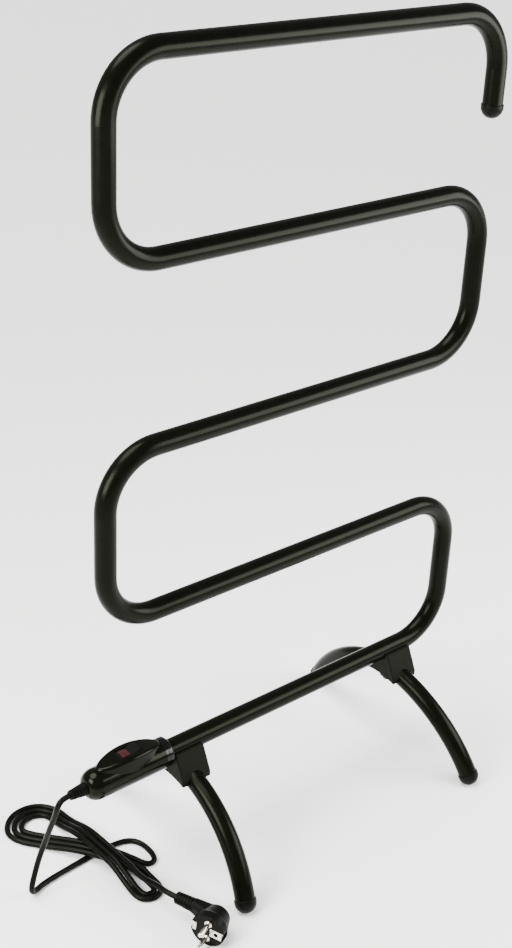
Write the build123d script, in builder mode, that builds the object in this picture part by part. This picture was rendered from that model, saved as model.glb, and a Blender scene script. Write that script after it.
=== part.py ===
from build123d import *
import os
from math import acos, cos, degrees, pi, radians, sin, sqrt, tan

os.makedirs("parts", exist_ok=True)

# Heated towel rail: one bent tube standing on two arched feet, heated by a cable inside it,
# with a switch housing on the end of its lowest rail. Millimetres, X along the rails with the
# housing at -X, -Y the front, Z up, the floor at z = 0.

# Tube and rails
tube_r = 11.0
tube_wall = 1.2
bore_r = tube_r - tube_wall
fit_gap = 0.05
rail_count = 5
rail_pitch = 183.5
first_rail_z = 130.0
upright_span = 490.0
bend_r = 58.0
hook_drop = 94.0
housing_reach = 272.0
overcut = 1.0

# Caps on the open tube ends
cap_r = 12.0
cap_lip = 3.0
cap_edge = 0.4
cap_plug_r = 9.3
cap_plug = 8.0
foot_flat = 0.7

# The box of the object is centred on X, between the housing's nose and the hook's cap
mid_x = (housing_reach - upright_span / 2 - cap_r) / 2
left_x = mid_x - upright_span / 2
right_x = mid_x + upright_span / 2
nose_x = mid_x - housing_reach
rail_z = [first_rail_z + i * rail_pitch for i in range(rail_count)]

# Arched feet, each one bent tube in a plane that leans outwards
foot_x = {"left": mid_x - 146.5, "right": mid_x + 170.7}
foot_side = {"left": -1, "right": 1}
foot_lean = radians(9.0)
arch_drop = 29.0
crown_r = 88.0
crown_turn = radians(13.9)
leg_r = 167.0
arch_z = first_rail_z - arch_drop

# Saddle brackets and their bolts
bracket_width = 38.0
bracket_top = 14.5
bracket_base = 28.0
bracket_skirt = 5.5
bracket_shoulder = 1.0
bracket_edge = 1.8
washer_side = 14.0
washer_corner = 3.0
washer_height = 4.0
washer_drop = 2.5
bolt_r = 2.95
bolt_hole_r = 3.2
bolt_head_r = 5.5
bolt_head = 3.5
bolt_head_edge = 1.2
bolt_tip_drop = 5.2
bolt_tip_edge = 0.6
socket_r = 2.3
socket_depth = 2.0
nut_hole_r = 4.5
nut_flange_r = 6.0
nut_flange = 1.0
nut_bulge_r = 5.5
nut_end_wall = 1.0

# Switch housing on the lowest rail
shell_r = 17.0
shell_wall = 2.2
inner_r = shell_r - shell_wall
dome_length = 14.5
nose_r = 6.0
shell_length = 94.5
collar_r = 16.75
collar_length = 9.6
collar_round = 2.0
tube_end_x = nose_x + 80.5
dome_x = nose_x + dome_length
shell_end_x = nose_x + shell_length
collar_end_x = shell_end_x + collar_length
axis_z = first_rail_z

# Rocker switch
switch_x = nose_x + 54.5
bezel_length = 79.0
bezel_width = 29.0
bezel_flare = 1.2
bezel_top = 23.6
bezel_tip = 18.0
bezel_edge = 4.0
opening_length = 27.0
opening_width = 15.0
neck_wall = 1.4
neck_bottom = 12.0
hinge_height = 18.0
hinge_pin_r = 1.5
hinge_reach = opening_width / 2 + 1.3
rocker_half = 12.6
rocker_width = 14.4
rocker_tilt = radians(7.5)
rocker_crest = 4.0

# Wires and cord
wire_r = 0.9
wire_y = 5.0
wire_drop = 6.0
cord_r = 3.15
heater_r = 3.0
relief_end_x = nose_x - 18.5


def corner_radii(points):
    corners = [Vector(*point) for point in points]
    radii = []
    for before, corner, after in zip(corners, corners[1:], corners[2:]):
        run_in = corner - before
        run_out = after - corner
        half_turn = radians(run_in.get_angle(run_out)) / 2
        radii.append(0.45 * min(run_in.length, run_out.length) / tan(half_turn))
    return radii


def tube_along(path, radius, hollow_radius=0.0):
    with BuildPart() as tube:
        with BuildSketch(Plane(origin=path @ 0, z_dir=path % 0)):
            Circle(radius)
            if hollow_radius:
                Circle(hollow_radius, mode=Mode.SUBTRACT)
        sweep(path=path)
    return tube.part


def routed_line(points):
    with BuildLine() as route:
        FilletPolyline(*points, radius=corner_radii(points))
    return route.wire()


def report_tube(name, part, path, section):
    expected = section * path.length
    print(f"{name}: length {path.length:.1f}, volume {part.volume:.0f} of {expected:.0f}")


# Rail tube, one run from inside the housing up to the hook
def rail_corners(start_x, end_z):
    corners = [(start_x, 0, rail_z[0])]
    for i in range(rail_count - 1):
        side_x = right_x if i % 2 == 0 else left_x
        corners += [(side_x, 0, rail_z[i]), (side_x, 0, rail_z[i + 1])]
    return corners + [(right_x, 0, rail_z[-1]), (right_x, 0, end_z)]


hook_end_z = rail_z[-1] - hook_drop
with BuildLine() as rail_line:
    FilletPolyline(*rail_corners(tube_end_x, hook_end_z), radius=bend_r)
rail_path = rail_line.wire()

with BuildPart() as rail_tube:
    add(tube_along(rail_path, tube_r, bore_r))
    with BuildSketch(Plane.XY.offset(axis_z - tube_r - overcut)):
        with Locations(*[(x, 0) for x in foot_x.values()]):
            Circle(nut_hole_r)
    extrude(amount=tube_r, mode=Mode.SUBTRACT)
rail_tube.part.label = "rail_tube"
export_step(rail_tube.part, "parts/rail_tube.step")
report_tube("rail_tube", rail_tube.part, rail_path, pi * (tube_r**2 - bore_r**2))


# End caps: a plug in the bore, a skirt as wide as the dome over the tube's edge, and the dome
def end_cap(end, outward):
    across = outward.cross(Vector(1, 0, 0)).normalized()
    with BuildPart() as cap:
        with BuildSketch(Plane(origin=end, x_dir=across, z_dir=across.cross(outward))):
            with BuildLine():
                Polyline(
                    (0, cap_lip + cap_r),
                    (0, -cap_plug),
                    (cap_plug_r, -cap_plug),
                    (cap_plug_r, 0),
                    (cap_r, 0),
                    (cap_r, cap_lip),
                )
                CenterArc((0, cap_lip), cap_r, 0, 90)
            make_face()
        revolve(axis=Axis(end, outward))
        rims = cap.edges().filter_by(GeomType.CIRCLE).filter_by(lambda edge: edge.radius > tube_r)
        fillet(rims.sort_by(lambda edge: (edge.arc_center - end).length)[:1], cap_edge)
    return cap.part


with BuildPart() as hook_cap:
    add(end_cap(rail_path @ 1, rail_path % 1))
hook_cap.part.label = "hook_cap"
export_step(hook_cap.part, "parts/hook_cap.step")

# Arched feet. In the leaning plane x is the frame's Y and y points up the lean.
foot_centre_z = cap_r - foot_flat
crown_drop = crown_r * (1 - cos(crown_turn))
leg_drop = (arch_z - foot_centre_z) / cos(foot_lean) - crown_drop
leg_turn = acos(cos(crown_turn) - leg_drop / leg_r) - cap_lip / leg_r
leg_centre_y = (leg_r - crown_r) * sin(crown_turn)
leg_centre_drop = crown_r + (leg_r - crown_r) * cos(crown_turn)

# Heights in the joint between rail and arch
shoulder_z = arch_z + bracket_shoulder
skirt_z = shoulder_z - bracket_skirt
washer_z = arch_z - tube_r - washer_drop
head_z = washer_z - fit_gap
nut_top_z = axis_z - 3.6
bulge_top_z = nut_top_z - 2.0
bulge_side_z = bulge_top_z - 0.6
bulge_bottom_z = axis_z - 8.0
flange_z = axis_z - tube_r - 0.1
nut_bottom_z = flange_z - nut_flange
nut_body_r = nut_hole_r - fit_gap


def arch_line(centre_x, side):
    lean_normal = (cos(foot_lean), 0, side * sin(foot_lean))
    lean_plane = Plane(origin=(centre_x, 0, arch_z), x_dir=(0, 1, 0), z_dir=lean_normal)
    sweep_angle = degrees(leg_turn - crown_turn)
    crown_angle = degrees(crown_turn)
    with BuildLine(lean_plane) as arch:
        CenterArc((leg_centre_y, -leg_centre_drop), leg_r, 90 + degrees(leg_turn), -sweep_angle)
        CenterArc((0, -crown_r), crown_r, 90 + crown_angle, -2 * crown_angle)
        CenterArc((-leg_centre_y, -leg_centre_drop), leg_r, 90 - crown_angle, -sweep_angle)
    return arch.wire()


for foot, side in foot_side.items():
    centre_x = foot_x[foot]
    arch = arch_line(centre_x, side)
    arch_bore = tube_along(arch, tube_r + fit_gap)

    with BuildPart() as leg_tube:
        add(tube_along(arch, tube_r, bore_r))
        with BuildSketch(Plane.XY.offset(arch_z - tube_r - overcut)):
            with Locations((centre_x, 0)):
                Circle(bolt_hole_r)
        extrude(amount=2 * (tube_r + overcut), mode=Mode.SUBTRACT)
    leg_tube.part.label = f"{foot}_leg_tube"
    export_step(leg_tube.part, f"parts/{foot}_leg_tube.step")

    for place, end, outward in (("front", arch @ 0, (arch % 0) * -1), ("back", arch @ 1, arch % 1)):
        with BuildPart() as foot_cap:
            add(end_cap(end, outward))
            split(bisect_by=Plane.XY, keep=Keep.TOP)
        foot_cap.part.label = f"{foot}_{place}_foot_cap"
        export_step(foot_cap.part, f"parts/{foot}_{place}_foot_cap.step")

    # Moulded saddle between rail and arch
    with BuildPart() as foot_bracket:
        with BuildSketch(Plane.YZ.offset(centre_x - bracket_width / 2)):
            with BuildLine():
                Polyline(
                    (bracket_base, skirt_z),
                    (bracket_base, shoulder_z),
                    (bracket_top, axis_z),
                    (-bracket_top, axis_z),
                    (-bracket_base, shoulder_z),
                    (-bracket_base, skirt_z),
                )
                ThreePointArc((-bracket_base, skirt_z), (0, arch_z), (bracket_base, skirt_z))
            make_face()
        extrude(amount=bracket_width)
        end_faces = foot_bracket.faces().filter_by(Axis.X)
        fillet(end_faces.edges().filter_by(GeomType.LINE), bracket_edge)
        with BuildSketch(Plane.YZ.offset(centre_x - bracket_width)):
            with Locations((0, axis_z)):
                Circle(tube_r + fit_gap)
        extrude(amount=2 * bracket_width, mode=Mode.SUBTRACT)
        add(arch_bore, mode=Mode.SUBTRACT)
        with BuildSketch(Plane.XY.offset(arch_z)):
            with Locations((centre_x, 0)):
                Circle(bolt_hole_r)
        extrude(amount=arch_drop, mode=Mode.SUBTRACT)
        with BuildSketch(Plane.XY.offset(nut_bottom_z - 0.1)):
            with Locations((centre_x, 0)):
                Circle(nut_flange_r + 0.2)
        extrude(amount=tube_r, mode=Mode.SUBTRACT)
    foot_bracket.part.label = f"{foot}_foot_bracket"
    export_step(foot_bracket.part, f"parts/{foot}_foot_bracket.step")

    # Curved washer under the arch
    with BuildPart() as saddle_washer:
        with BuildSketch(Plane.XY.offset(washer_z)):
            with Locations((centre_x, 0)):
                RectangleRounded(washer_side, washer_side, washer_corner)
                Circle(bolt_hole_r, mode=Mode.SUBTRACT)
        extrude(amount=washer_height)
        add(arch_bore, mode=Mode.SUBTRACT)
    saddle_washer.part.label = f"{foot}_saddle_washer"
    export_step(saddle_washer.part, f"parts/{foot}_saddle_washer.step")

    # Bolt with a socket head, pointing up
    with BuildPart() as foot_bolt:
        with BuildSketch(Plane.XY.offset(head_z - bolt_head)):
            with Locations((centre_x, 0)):
                Circle(bolt_head_r)
        extrude(amount=bolt_head)
        fillet(foot_bolt.faces().sort_by(Axis.Z)[0].edges(), bolt_head_edge)
        with BuildSketch(Plane.XY.offset(head_z - bolt_head)):
            with Locations((centre_x, 0)):
                RegularPolygon(socket_r, 6)
        extrude(amount=socket_depth, mode=Mode.SUBTRACT)
        with BuildSketch(Plane.XY.offset(head_z)):
            with Locations((centre_x, 0)):
                Circle(bolt_r)
        extrude(amount=axis_z - bolt_tip_drop - head_z)
        chamfer(foot_bolt.faces().sort_by(Axis.Z)[-1].edges(), bolt_tip_edge)
    foot_bolt.part.label = f"{foot}_foot_bolt"
    export_step(foot_bolt.part, f"parts/{foot}_foot_bolt.step")

    # Rivet nut set in the rail's underside
    with BuildPart() as rivet_nut:
        with BuildSketch(Plane.YZ.offset(centre_x)):
            with BuildLine():
                Polyline(
                    (0, nut_top_z),
                    (nut_body_r, nut_top_z),
                    (nut_body_r, bulge_top_z),
                    (nut_bulge_r, bulge_side_z),
                    (nut_bulge_r, bulge_bottom_z),
                    (nut_body_r, bulge_bottom_z),
                    (nut_body_r, flange_z),
                    (nut_flange_r, flange_z),
                    (nut_flange_r, nut_bottom_z),
                    (0, nut_bottom_z),
                    (0, nut_top_z),
                )
            make_face()
        revolve(axis=Axis((centre_x, 0, 0), (0, 0, 1)))
        with BuildSketch(Plane.XY.offset(nut_bottom_z - overcut)):
            with Locations((centre_x, 0)):
                Circle(bolt_r + fit_gap)
        extrude(amount=nut_top_z - nut_end_wall - nut_bottom_z + overcut, mode=Mode.SUBTRACT)
    rivet_nut.part.label = f"{foot}_rivet_nut"
    export_step(rivet_nut.part, f"parts/{foot}_rivet_nut.step")

# Switch housing, two shells parted at the rail's axis
relief_hole_r = 4.6
boss_x = (nose_x + 32.5, nose_x + 68.5)
boss_y = 11.0
boss_r = 3.8
boss_top = 8.0
pilot_r = 1.25
recess_r = 2.6
recess_top = -6.0
clamp_x = nose_x + 11.0
clamp_y = 6.5
clamp_post_r = 2.6
clamp_post_top = 2.9
clamp_pilot_bottom = -7.0
cord_rest = (5.0, 8.0)
cord_rest_top = -3.2
block_x = nose_x + 21.75
block_rest = (8.0, 10.0)
block_height = 8.5
block_top = axis_z - 2.0
neck_hole_bottom = 9.0
neck_hole_gap = 0.15
boss_places = [(x, y) for x in boss_x for y in (-boss_y, boss_y)]
clamp_places = [(clamp_x, -clamp_y), (clamp_x, clamp_y)]
neck_length = opening_length + 2 * neck_wall
neck_width = opening_width + 2 * neck_wall
neck_corner = 2.0

with BuildPart() as housing_skin:
    with BuildSketch(Plane.XZ):
        with BuildLine():
            Line((shell_end_x, axis_z + shell_r), (dome_x, axis_z + shell_r))
            EllipticalCenterArc(
                (dome_x, axis_z + nose_r), dome_length, shell_r - nose_r, 90, arc_size=90
            )
            Polyline(
                (nose_x, axis_z + nose_r),
                (nose_x, axis_z + relief_hole_r),
                (nose_x + shell_wall, axis_z + relief_hole_r),
                (nose_x + shell_wall, axis_z + nose_r),
            )
            EllipticalCenterArc(
                (dome_x, axis_z + nose_r),
                dome_length - shell_wall,
                inner_r - nose_r,
                90,
                arc_size=90,
            )
            Polyline(
                (dome_x, axis_z + inner_r),
                (shell_end_x, axis_z + inner_r),
                (shell_end_x, axis_z + shell_r),
            )
        make_face()
    revolve(axis=Axis((0, 0, axis_z), (1, 0, 0)))

# Everything that stands on the shells' inside is cut off within their wall
fill_start = 8.0
fill_end = shell_length - 2.0
with BuildPart() as shell_fill:
    with BuildSketch(Plane.YZ.offset(nose_x + fill_start)):
        with Locations((0, axis_z)):
            Circle(inner_r + 0.5)
    extrude(amount=fill_end - fill_start)

with BuildPart() as upper_posts:
    with BuildSketch(Plane.XY.offset(axis_z)):
        with Locations(*boss_places):
            Circle(boss_r)
    extrude(amount=boss_top)
    add(shell_fill.part, mode=Mode.INTERSECT)

with BuildPart() as housing_upper:
    add(housing_skin.part)
    split(bisect_by=Plane.XY.offset(axis_z), keep=Keep.TOP)
    add(upper_posts.part)
    with BuildSketch(Plane.XY.offset(axis_z - overcut)):
        with Locations(*boss_places):
            Circle(pilot_r)
    extrude(amount=boss_top, mode=Mode.SUBTRACT)
    with BuildSketch(Plane.XY.offset(axis_z + neck_hole_bottom)):
        with Locations((switch_x, 0)):
            RectangleRounded(
                neck_length + 2 * neck_hole_gap,
                neck_width + 2 * neck_hole_gap,
                neck_corner + neck_hole_gap,
            )
    extrude(amount=shell_r, mode=Mode.SUBTRACT)
housing_upper.part.label = "housing_upper"
export_step(housing_upper.part, "parts/housing_upper.step")

with BuildPart() as lower_posts:
    with BuildSketch(Plane.XY.offset(axis_z - shell_r)):
        with Locations(*boss_places):
            Circle(boss_r)
    extrude(amount=shell_r)
    with BuildSketch(Plane.XY.offset(axis_z - shell_r)):
        with Locations(*clamp_places):
            Circle(clamp_post_r)
    extrude(amount=shell_r + clamp_post_top)
    with BuildSketch(Plane.XY.offset(axis_z - shell_r)):
        with Locations((clamp_x, 0)):
            Rectangle(*cord_rest)
    extrude(amount=shell_r + cord_rest_top)
    with BuildSketch(Plane.XY.offset(axis_z - shell_r)):
        with Locations((block_x, 0)):
            Rectangle(*block_rest)
    extrude(amount=block_top - block_height - fit_gap - (axis_z - shell_r))
    add(shell_fill.part, mode=Mode.INTERSECT)

with BuildPart() as housing_lower:
    add(housing_skin.part)
    split(bisect_by=Plane.XY.offset(axis_z), keep=Keep.BOTTOM)
    add(lower_posts.part)
    with BuildSketch(Plane.XY.offset(axis_z - shell_r - overcut)):
        with Locations(*boss_places):
            Circle(pilot_r)
    extrude(amount=shell_r + 2 * overcut, mode=Mode.SUBTRACT)
    with BuildSketch(Plane.XY.offset(axis_z - shell_r - overcut)):
        with Locations(*boss_places):
            Circle(recess_r)
    extrude(amount=shell_r + overcut + recess_top, mode=Mode.SUBTRACT)
    with BuildSketch(Plane.XY.offset(axis_z + clamp_pilot_bottom)):
        with Locations(*clamp_places):
            Circle(pilot_r)
    extrude(amount=clamp_post_top - clamp_pilot_bottom + overcut, mode=Mode.SUBTRACT)
housing_lower.part.label = "housing_lower"
export_step(housing_lower.part, "parts/housing_lower.step")

screw_r = 1.2
screw_head_r = 2.45
screw_head = 2.0
screw_length = 12.0
cross_slot = (3.0, 0.6)
slot_depth = 1.0
screw_head_z = axis_z + recess_top - fit_gap
with BuildPart() as housing_screws:
    with BuildSketch(Plane.XY.offset(screw_head_z - screw_head)):
        with Locations(*boss_places):
            Circle(screw_head_r)
    extrude(amount=screw_head)
    with BuildSketch(Plane.XY.offset(screw_head_z)):
        with Locations(*boss_places):
            Circle(screw_r)
    extrude(amount=screw_length)
    with BuildSketch(Plane.XY.offset(screw_head_z - screw_head)):
        with Locations(*boss_places):
            Rectangle(*cross_slot)
            Rectangle(*cross_slot[::-1])
    extrude(amount=slot_depth, mode=Mode.SUBTRACT)
housing_screws.part.label = "housing_screws"
export_step(housing_screws.part, "parts/housing_screws.step")

# Collar and bush that close the housing round the tube, the collar with one groove round it
groove_x = shell_end_x + 3.2
groove_width = 0.8
groove_depth = 0.4
collar_rim = 1.95
collar_bore_r = tube_r + 0.1
bush_reach = 6.0
with BuildPart() as tube_collar:
    with BuildSketch(Plane.XZ):
        with BuildLine():
            Polyline(
                (collar_end_x - collar_round, axis_z + collar_r),
                (groove_x + groove_width, axis_z + collar_r),
                (groove_x + groove_width, axis_z + collar_r - groove_depth),
                (groove_x, axis_z + collar_r - groove_depth),
                (groove_x, axis_z + collar_r),
                (shell_end_x + fit_gap, axis_z + collar_r),
                (shell_end_x + fit_gap, axis_z + inner_r),
                (collar_end_x - collar_rim, axis_z + inner_r),
                (collar_end_x - collar_rim, axis_z + collar_bore_r),
                (collar_end_x, axis_z + collar_bore_r),
                (collar_end_x, axis_z + collar_r - collar_round),
            )
            CenterArc(
                (collar_end_x - collar_round, axis_z + collar_r - collar_round), collar_round, 0, 90
            )
        make_face()
    revolve(axis=Axis((0, 0, axis_z), (1, 0, 0)))
tube_collar.part.label = "tube_collar"
export_step(tube_collar.part, "parts/tube_collar.step")

with BuildPart() as tube_bush:
    with BuildSketch(Plane.YZ.offset(shell_end_x - bush_reach)):
        with Locations((0, axis_z)):
            Circle(inner_r - fit_gap)
            Circle(tube_r + fit_gap, mode=Mode.SUBTRACT)
    extrude(amount=bush_reach + collar_length - collar_rim - fit_gap)
tube_bush.part.label = "tube_bush"
export_step(tube_bush.part, "parts/tube_bush.step")

# Earth band on the tube, with a tab for its wire
band_x = shell_end_x - 13
band_wall = 0.8
band_width = 6.0
tab_width = 4.8
tab_z = axis_z - 12.15
tab_reach = 5.0
with BuildPart() as earth_band:
    with BuildSketch(Plane.YZ.offset(band_x)):
        with Locations((0, axis_z)):
            Circle(tube_r + fit_gap + band_wall)
            Circle(tube_r + fit_gap, mode=Mode.SUBTRACT)
    extrude(amount=band_width)
    with BuildSketch(Plane.YZ.offset(band_x - tab_reach)):
        with Locations((0, tab_z)):
            Rectangle(tab_width, band_wall)
    extrude(amount=tab_reach + band_width / 2)
earth_band.part.label = "earth_band"
export_step(earth_band.part, "parts/earth_band.step")

# Switch bezel: a long oval pad, crowned and well rounded, flared down to the shell, with a neck
bezel_crown = bezel_top - bezel_tip
bezel_crown_r = ((bezel_length / 2) ** 2 + bezel_crown**2) / (2 * bezel_crown)
bezel_base = sqrt(shell_r**2 - (bezel_width / 2 + bezel_flare) ** 2) - 0.3
with BuildPart() as switch_frame:
    with BuildSketch(Plane.XY.offset(axis_z + bezel_base)):
        with Locations((switch_x, 0)):
            Ellipse(bezel_length / 2 + bezel_flare, bezel_width / 2 + bezel_flare)
    with BuildSketch(Plane.XY.offset(axis_z + bezel_top)):
        with Locations((switch_x, 0)):
            Ellipse(bezel_length / 2, bezel_width / 2)
    loft()
    with BuildSketch(Plane.XZ.offset(-bezel_width)):
        with Locations((switch_x, axis_z + bezel_top - bezel_crown_r)):
            Circle(bezel_crown_r)
    extrude(amount=2 * bezel_width, mode=Mode.INTERSECT)
    crown_face = switch_frame.faces().filter_by(GeomType.CYLINDER)
    fillet(crown_face.edges(), bezel_edge)
    with BuildSketch(Plane.YZ.offset(switch_x - bezel_length)):
        with Locations((0, axis_z)):
            Circle(shell_r + 0.03)
    extrude(amount=2 * bezel_length, mode=Mode.SUBTRACT)
    with BuildSketch(Plane.XY.offset(axis_z + neck_bottom)):
        with Locations((switch_x, 0)):
            RectangleRounded(neck_length, neck_width, neck_corner)
    extrude(amount=shell_r + overcut - neck_bottom)
    with BuildSketch(Plane.XY.offset(axis_z + neck_bottom - overcut)):
        with Locations((switch_x, 0)):
            RectangleRounded(opening_length, opening_width, 0.8)
    extrude(amount=bezel_top, mode=Mode.SUBTRACT)
    with BuildSketch(Plane.XZ.offset(-hinge_reach)):
        with Locations((switch_x, axis_z + hinge_height)):
            Circle(hinge_pin_r + fit_gap)
    extrude(amount=2 * hinge_reach, mode=Mode.SUBTRACT)
switch_frame.part.label = "switch_frame"
export_step(switch_frame.part, "parts/switch_frame.step")

# Rocker, at rest with its left end pressed. The sketch's y axis leans with the rocker.
hinge = Vector(switch_x, 0, axis_z + hinge_height)
rocker_plane = Plane(
    origin=hinge, x_dir=(cos(rocker_tilt), 0, sin(rocker_tilt)), z_dir=(0, -1, 0)
)
rocker_tip = rocker_crest + rocker_half * tan(rocker_tilt)
face_z = axis_z + hinge_height + rocker_crest * cos(rocker_tilt)
rocker_skirt = 1.0
rocker_keel = 2.2
rocker_keel_half = 4.0
rocker_edge = 0.8
pin_end_gap = 0.4
lens_x = switch_x - 5.7
lens_length = 9.6
lens_width = 12.0
lens_depth = 1.6
lens_corner = 1.5

with BuildPart() as rocker:
    with BuildSketch(rocker_plane):
        with BuildLine():
            Polyline(
                (-rocker_half, rocker_tip),
                (-rocker_half, -rocker_skirt),
                (-rocker_keel_half, -rocker_keel),
                (rocker_keel_half, -rocker_keel),
                (rocker_half, -rocker_skirt),
                (rocker_half, rocker_tip),
                (0, rocker_crest),
                (-rocker_half, rocker_tip),
            )
        make_face()
    extrude(amount=rocker_width / 2, both=True)
    for end in (0, -1):
        end_edges = rocker.edges().filter_by(Axis.Y).group_by(Axis.X)[end]
        fillet(end_edges.sort_by(Axis.Z)[-1:], rocker_edge)
    with BuildSketch(Plane.XZ.offset(pin_end_gap - hinge_reach)):
        with Locations((hinge.X, hinge.Z)):
            Circle(hinge_pin_r)
    extrude(amount=2 * (hinge_reach - pin_end_gap))
    with BuildSketch(Plane.XY.offset(face_z - lens_depth)):
        with Locations((lens_x, 0)):
            RectangleRounded(lens_length, lens_width, lens_corner)
    extrude(amount=rocker_half, mode=Mode.SUBTRACT)
rocker.part.label = "rocker"
export_step(rocker.part, "parts/rocker.step")

# Red lens, crowned, in the rocker's left half
lens_crown_r = 26.0
lens_rise = 1.4
lens_top = face_z + lens_rise
with BuildPart() as rocker_lens:
    with BuildSketch(Plane.XY.offset(face_z - lens_depth + 0.02)):
        with Locations((lens_x, 0)):
            RectangleRounded(
                lens_length - 2 * fit_gap, lens_width - 2 * fit_gap, lens_corner - fit_gap
            )
    extrude(amount=2 * lens_depth + lens_rise)
    with Locations((lens_x, 0, lens_top - lens_crown_r)):
        Sphere(lens_crown_r, mode=Mode.INTERSECT)
rocker_lens.part.label = "rocker_lens"
export_step(rocker_lens.part, "parts/rocker_lens.step")

# Switch body under the neck, with its lamp and three blades
blade_pitch = 7.0
blade_x = [switch_x - blade_pitch, switch_x, switch_x + blade_pitch]
blade = (0.8, 4.8)
blade_slot = (0.9, 4.9)
blade_length = 9.95
blade_bottom = axis_z - 9.0
slot_top = axis_z + 1.0
body_size = (25.0, 13.6)
body_wall = 1.5
body_flange = 0.9
body_bottom = axis_z - 2.0
body_top = axis_z + neck_bottom - fit_gap
well_floor = axis_z + 5.0
with BuildPart() as switch_body:
    with BuildSketch(Plane.XY.offset(body_bottom)):
        with Locations((switch_x, 0)):
            RectangleRounded(*body_size, 1.0)
    extrude(amount=body_top - body_bottom)
    with BuildSketch(Plane.XY.offset(body_top - body_flange)):
        with Locations((switch_x, 0)):
            RectangleRounded(neck_length, neck_width - 0.2, 1.5)
    extrude(amount=body_flange)
    with BuildSketch(Plane.XY.offset(well_floor)):
        with Locations((switch_x, 0)):
            RectangleRounded(body_size[0] - 2 * body_wall, body_size[1] - 2 * body_wall, 0.8)
    extrude(amount=neck_bottom, mode=Mode.SUBTRACT)
    with BuildSketch(Plane.XY.offset(body_bottom)):
        with Locations(*[(x, 0) for x in blade_x]):
            Rectangle(*blade_slot)
    extrude(amount=slot_top - body_bottom, mode=Mode.SUBTRACT)
switch_body.part.label = "switch_body"
export_step(switch_body.part, "parts/switch_body.step")

lamp_r = 1.75
lamp_half = 4.0
with BuildPart() as indicator_lamp:
    with BuildSketch(Plane.XZ.offset(-lamp_half)):
        with Locations((lens_x, well_floor + lamp_r + fit_gap)):
            Circle(lamp_r)
    extrude(amount=2 * lamp_half)
    fillet(indicator_lamp.edges().filter_by(GeomType.CIRCLE), lamp_r / 2)
indicator_lamp.part.label = "indicator_lamp"
export_step(indicator_lamp.part, "parts/indicator_lamp.step")

with BuildPart() as switch_blades:
    with BuildSketch(Plane.XY.offset(blade_bottom)):
        with Locations(*[(x, 0) for x in blade_x]):
            Rectangle(*blade)
    extrude(amount=blade_length)
switch_blades.part.label = "switch_blades"
export_step(switch_blades.part, "parts/switch_blades.step")

sleeve = (3.0, 6.8)
sleeve_length = 7.0
sleeve_floor = 0.4
sleeve_bottom = blade_bottom - 0.1 - sleeve_floor
with BuildPart() as blade_sleeves:
    with BuildSketch(Plane.XY.offset(sleeve_bottom)):
        with Locations(*[(x, 0) for x in blade_x]):
            RectangleRounded(*sleeve, 0.6)
    extrude(amount=sleeve_length)
    with BuildSketch(Plane.XY.offset(sleeve_bottom + sleeve_floor)):
        with Locations(*[(x, 0) for x in blade_x]):
            Rectangle(*blade_slot)
    extrude(amount=sleeve_length + overcut, mode=Mode.SUBTRACT)
blade_sleeves.part.label = "blade_sleeves"
export_step(blade_sleeves.part, "parts/blade_sleeves.step")

# Terminal block where the cord's cores end
block_length = 11.5
block_width = 19.0
block_hole = 2.6
terminal_r = 1.5
terminal_height = 3.0
core_x = block_x - 1.2
screw_x = block_x + 3.0
pole_y = (-wire_y, 0, wire_y)
with BuildPart() as terminal_block:
    with BuildSketch(Plane.XY.offset(block_top - block_height)):
        with Locations((block_x, 0)):
            RectangleRounded(block_length, block_width, 0.8)
    extrude(amount=block_height)
    with BuildSketch(Plane.XY.offset(block_top - block_hole)):
        with Locations(*[(core_x, y) for y in pole_y]):
            Circle(wire_r + 0.1)
        with Locations(*[(screw_x, y) for y in pole_y]):
            Circle(terminal_r + fit_gap)
    extrude(amount=block_hole + overcut, mode=Mode.SUBTRACT)
terminal_block.part.label = "terminal_block"
export_step(terminal_block.part, "parts/terminal_block.step")

with BuildPart() as terminal_screws:
    with BuildSketch(Plane.XY.offset(block_top - block_hole + 0.1)):
        with Locations(*[(screw_x, y) for y in pole_y]):
            Circle(terminal_r)
    extrude(amount=terminal_height)
    with BuildSketch(Plane.XY.offset(block_top)):
        with Locations(*[(screw_x, y) for y in pole_y]):
            Rectangle(2.4, 0.5)
    extrude(amount=terminal_height, mode=Mode.SUBTRACT)
terminal_screws.part.label = "terminal_screws"
export_step(terminal_screws.part, "parts/terminal_screws.step")

# Clamp that holds the cord inside the housing
clamp_z = axis_z + 3.2
clamp_size = (5.0, 18.0)
clamp_height = 2.8
clamp_top = clamp_z + clamp_height
clamp_screw_head = 1.6
clamp_screw_bottom = axis_z - 5.0
with BuildPart() as cord_clamp:
    with BuildSketch(Plane.XY.offset(clamp_z)):
        with Locations((clamp_x, 0)):
            RectangleRounded(*clamp_size, 2.4)
        with Locations(*clamp_places):
            Circle(pilot_r + 0.1, mode=Mode.SUBTRACT)
    extrude(amount=clamp_height)
cord_clamp.part.label = "cord_clamp"
export_step(cord_clamp.part, "parts/cord_clamp.step")

with BuildPart() as clamp_screws:
    with BuildSketch(Plane.XY.offset(clamp_top)):
        with Locations(*clamp_places):
            Circle(2.2)
    extrude(amount=clamp_screw_head)
    fillet(clamp_screws.faces().group_by(Axis.Z)[-1].edges(), 0.5)
    with BuildSketch(Plane.XY.offset(clamp_screw_bottom)):
        with Locations(*clamp_places):
            Circle(screw_r)
    extrude(amount=clamp_top - clamp_screw_bottom)
    with BuildSketch(Plane.XY.offset(clamp_top + clamp_screw_head / 2)):
        with Locations(*clamp_places):
            Rectangle(*cross_slot)
            Rectangle(*cross_slot[::-1])
    extrude(amount=clamp_screw_head, mode=Mode.SUBTRACT)
clamp_screws.part.label = "clamp_screws"
export_step(clamp_screws.part, "parts/clamp_screws.step")

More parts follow.
